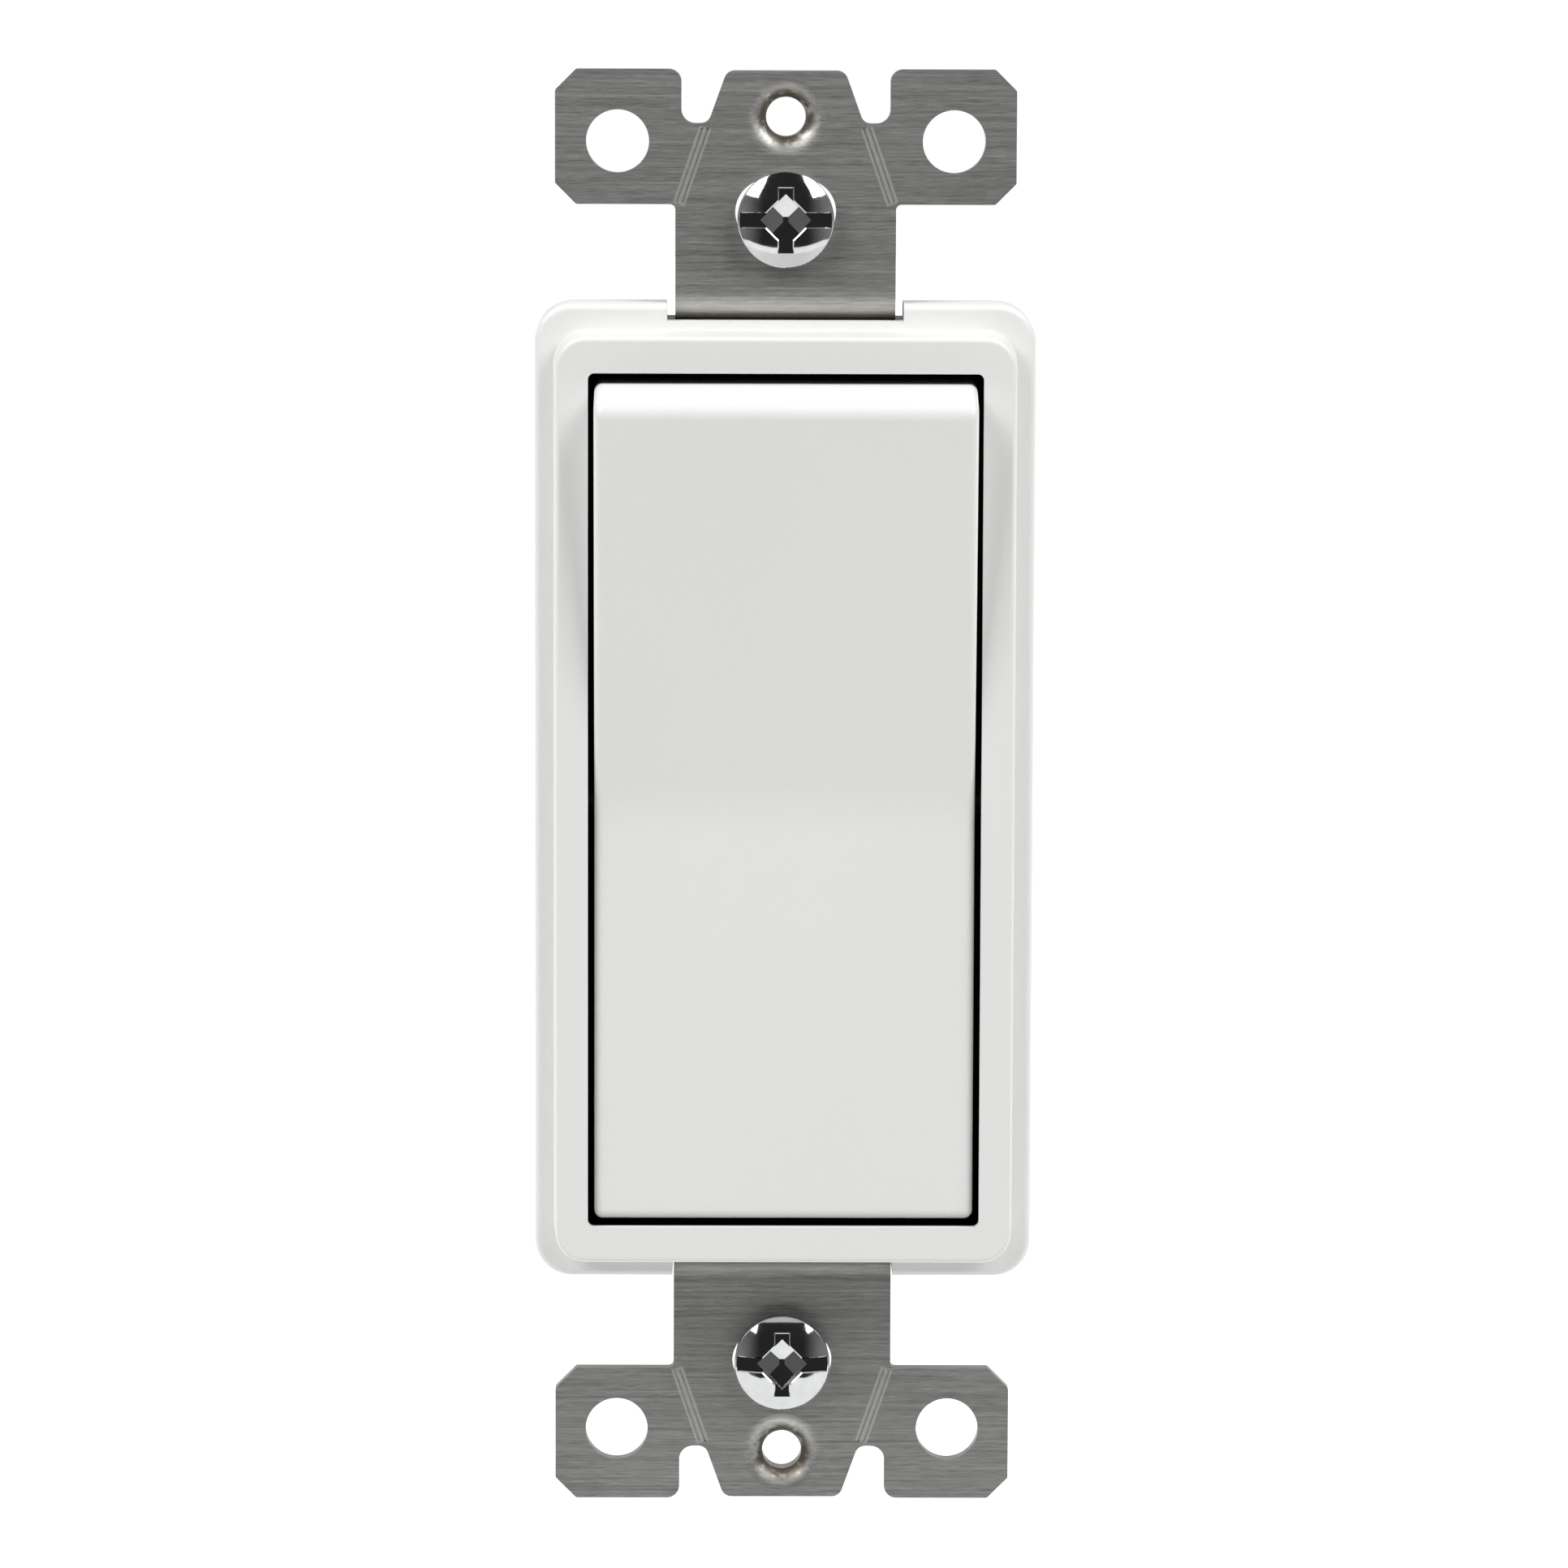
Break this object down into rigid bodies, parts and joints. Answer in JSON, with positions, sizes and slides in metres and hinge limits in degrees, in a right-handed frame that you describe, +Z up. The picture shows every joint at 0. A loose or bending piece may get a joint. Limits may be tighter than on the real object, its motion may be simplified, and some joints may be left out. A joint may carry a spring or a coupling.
{
  "type": "decorator rocker wall switch",
  "caption": "Decorator-style rocker wall switch: rocking paddle in a rectangular frame on a steel mounting strap with snap-off ears, side terminals and a see-saw contact mechanism.",
  "frame": {"origin": "centre of the switch on the wall plane, which is the back of the strap's ears", "axes": "+X to the right seen from the room, +Y into the wall, +Z up; the paddle faces -Y"},
  "size_m": [0.0358, 0.0375, 0.1036],
  "materials": {
    "paddle_white": "moulded white thermoplastic, soft satin sheen",
    "frame_white": "moulded white thermoplastic, soft satin sheen",
    "strap_steel": "zinc-plated steel sheet with a fine horizontal grain",
    "housing_grey": "moulded dark grey thermoset",
    "insulator_grey": "moulded insulating plate",
    "bumper_rubber": "soft moulded pads",
    "nylon_natural": "natural nylon",
    "spring_steel": "drawn spring wire",
    "contact_brass": "stamped spring brass",
    "contact_silver": "silver alloy buttons",
    "terminal_brass": "stamped brass strip",
    "clamp_steel": "zinc-plated clamp plate",
    "screw_black": "black oxide steel",
    "screw_brass": "brass-plated steel",
    "screw_green": "green-dyed steel",
    "screw_chrome": "bright nickel-plated steel",
    "rivet_steel": "plated steel"
  },
  "bodies": {
    "switch_body": {"front_frame": "frame_white", "strap_ears_top": "strap_steel", "strap_ears_bottom": "strap_steel", "strap_leg_top": "strap_steel", "strap_leg_bottom": "strap_steel", "strap_back": "strap_steel", "rear_housing": "housing_grey", "mechanism_cover": "insulator_grey", "paddle_bumpers": "bumper_rubber", "fixed_contacts": "contact_silver", "common_terminal": "terminal_brass", "traveler_terminal_upper": "terminal_brass", "traveler_terminal_lower": "terminal_brass", "common_clamp_plate": "clamp_steel", "traveler_clamp_plates": "clamp_steel", "screw_retainers": "nylon_natural", "strap_rivets": "rivet_steel"},
    "paddle": {"rocker_paddle": "paddle_white", "plunger_spring": "spring_steel"},
    "sprung_plunger": {"plunger": "nylon_natural"},
    "contact_see_saw": {"contact_arm": "contact_brass", "moving_contacts": "contact_silver"},
    "box_screw_upper": {"box_screw_top": "screw_chrome"},
    "box_screw_lower": {"box_screw_bottom": "screw_chrome"},
    "screw_common": {"common_screw": "screw_black"},
    "screw_traveler_upper": {"traveler_screw_upper": "screw_brass"},
    "screw_traveler_lower": {"traveler_screw_lower": "screw_brass"},
    "screw_ground": {"ground_screw": "screw_green"}
  },
  "joints": [
    {"name": "paddle_pivot", "type": "hinge", "parent": "switch_body", "child": "paddle", "pos_m": [0, 0, 0], "axis": [1, 0, 0], "range_deg": [-8, 0]},
    {"name": "contact_arm_tilt", "type": "hinge", "parent": "switch_body", "child": "contact_see_saw", "pos_m": [0, 0.0115, 0], "axis": [1, 0, 0], "range_deg": [0, 10]},
    {"name": "plunger_slide", "type": "slide", "parent": "paddle", "child": "sprung_plunger", "axis": [0, 0.9976, 0.0698], "range_m": [-0.001, 0], "stiffness_N_per_m": 400, "deforming": ["plunger_spring"]},
    {"name": "box_screw_top_turn", "type": "hinge", "parent": "switch_body", "child": "box_screw_upper", "pos_m": [0, 0, 0.04115], "axis": [0, -1, 0], "continuous": true},
    {"name": "box_screw_bottom_turn", "type": "hinge", "parent": "switch_body", "child": "box_screw_lower", "pos_m": [0, 0, -0.04165], "axis": [0, -1, 0], "continuous": true},
    {"name": "common_screw_turn", "type": "hinge", "parent": "switch_body", "child": "screw_common", "pos_m": [-0.0147, 0.012, 0], "axis": [-1, 0, 0], "continuous": true},
    {"name": "traveler_screw_upper_turn", "type": "hinge", "parent": "switch_body", "child": "screw_traveler_upper", "pos_m": [0.0147, 0.012, 0.013], "axis": [1, 0, 0], "continuous": true},
    {"name": "traveler_screw_lower_turn", "type": "hinge", "parent": "switch_body", "child": "screw_traveler_lower", "pos_m": [0.0147, 0.012, -0.013], "axis": [1, 0, 0], "continuous": true},
    {"name": "ground_screw_turn", "type": "hinge", "parent": "switch_body", "child": "screw_ground", "pos_m": [-0.012, 0.012, -0.0347], "axis": [0, 0, -1], "continuous": true}
  ],
  "couplings": [
    {"joint": "contact_arm_tilt", "follows": "paddle_pivot", "ratio": -1.25}
  ]
}
